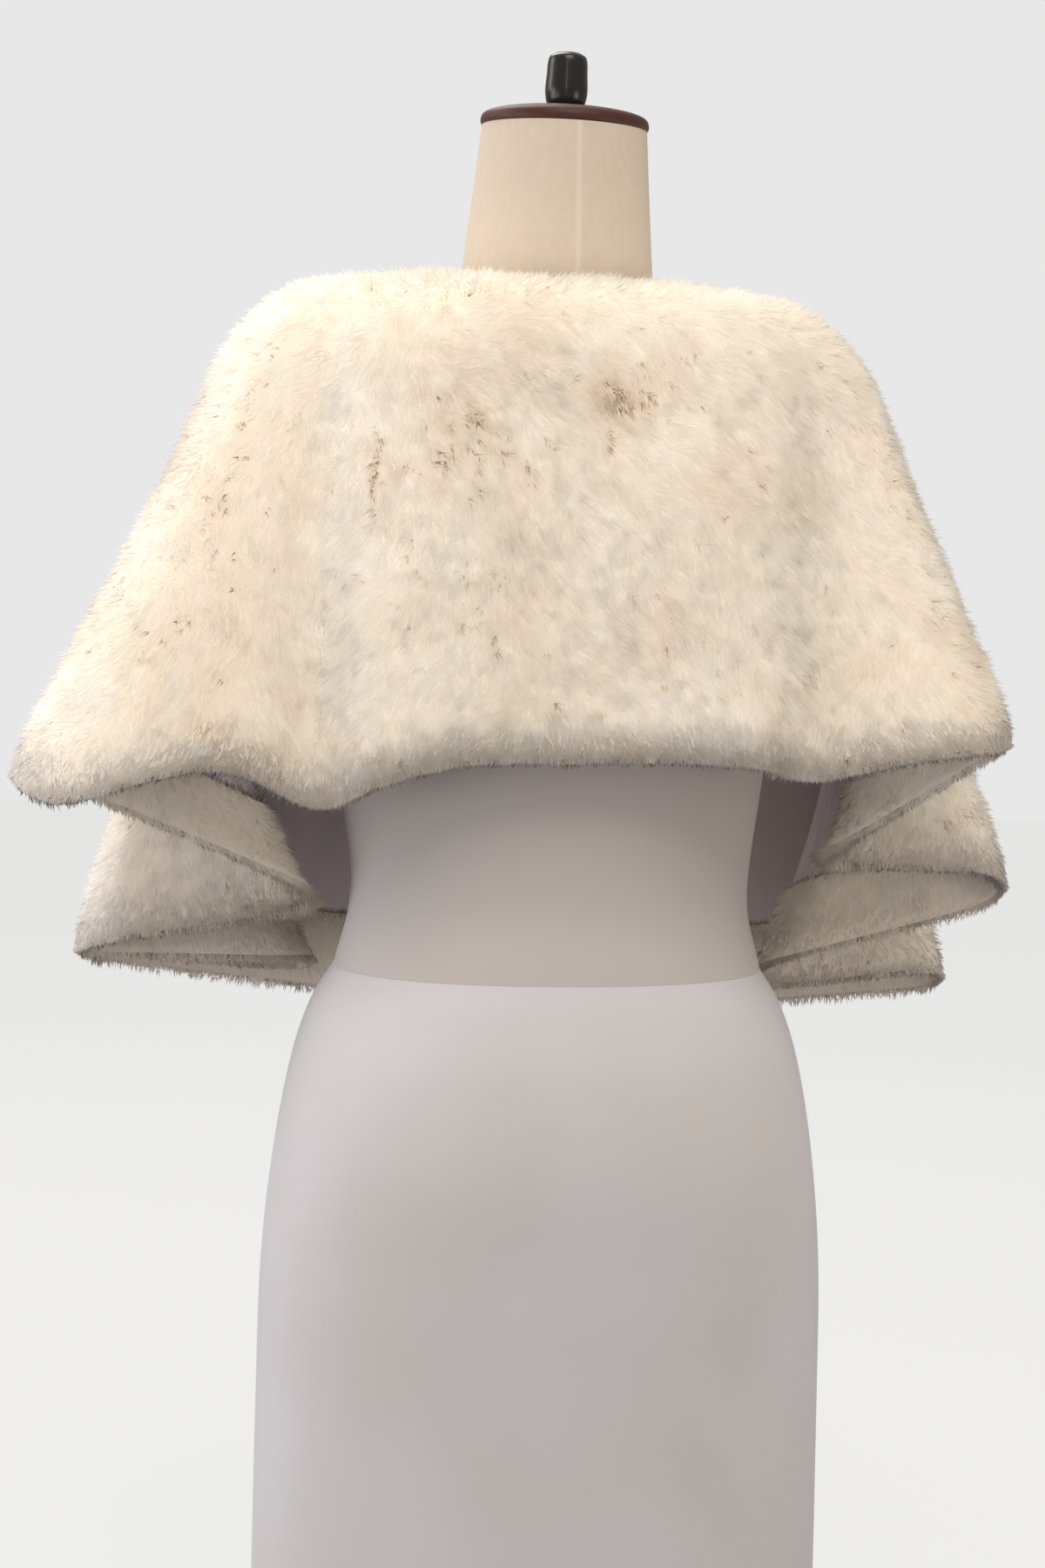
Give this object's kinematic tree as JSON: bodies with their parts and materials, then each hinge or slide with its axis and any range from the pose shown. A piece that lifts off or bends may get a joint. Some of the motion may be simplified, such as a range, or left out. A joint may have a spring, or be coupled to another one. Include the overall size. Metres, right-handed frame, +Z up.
{
  "type": "bridal cape on dress form",
  "caption": "Short fur bridal cape, longer in front, with fluted sides and turned-up hem, resting on a limbless dress form with a wooden neck cap and knob.",
  "frame": {"origin": "centre of the dress form's flat foot, on the surface that it stands on", "axes": "+Z up; the wearer faces -Y, so the back of the cape faces +Y; +X is the wearer's left"},
  "size_m": [0.6466, 0.3514, 1.0198],
  "materials": {
    "ivory_fur": "short dense faux fur pile, matt",
    "ivory_satin": "satin lining, soft sheen",
    "calico": "plain linen cover, matt",
    "white_jersey": "smooth stretched cover, matt",
    "dark_wood": "dark reddish stain, satin varnish",
    "black_plastic": "semi-gloss"
  },
  "bodies": {
    "root": {"back_panel": "ivory_fur", "side_panel_left": "ivory_fur", "side_panel_right": "ivory_fur", "front_panel_left": "ivory_fur", "front_panel_right": "ivory_fur", "hem_facing_back": "ivory_fur", "hem_facing_left": "ivory_fur", "hem_facing_right": "ivory_fur", "lining_left": "ivory_satin", "lining_right": "ivory_satin", "form_torso": "calico", "form_hips": "white_jersey", "neck_cap": "dark_wood", "cap_knob": "black_plastic"}
  },
  "joints": []
}
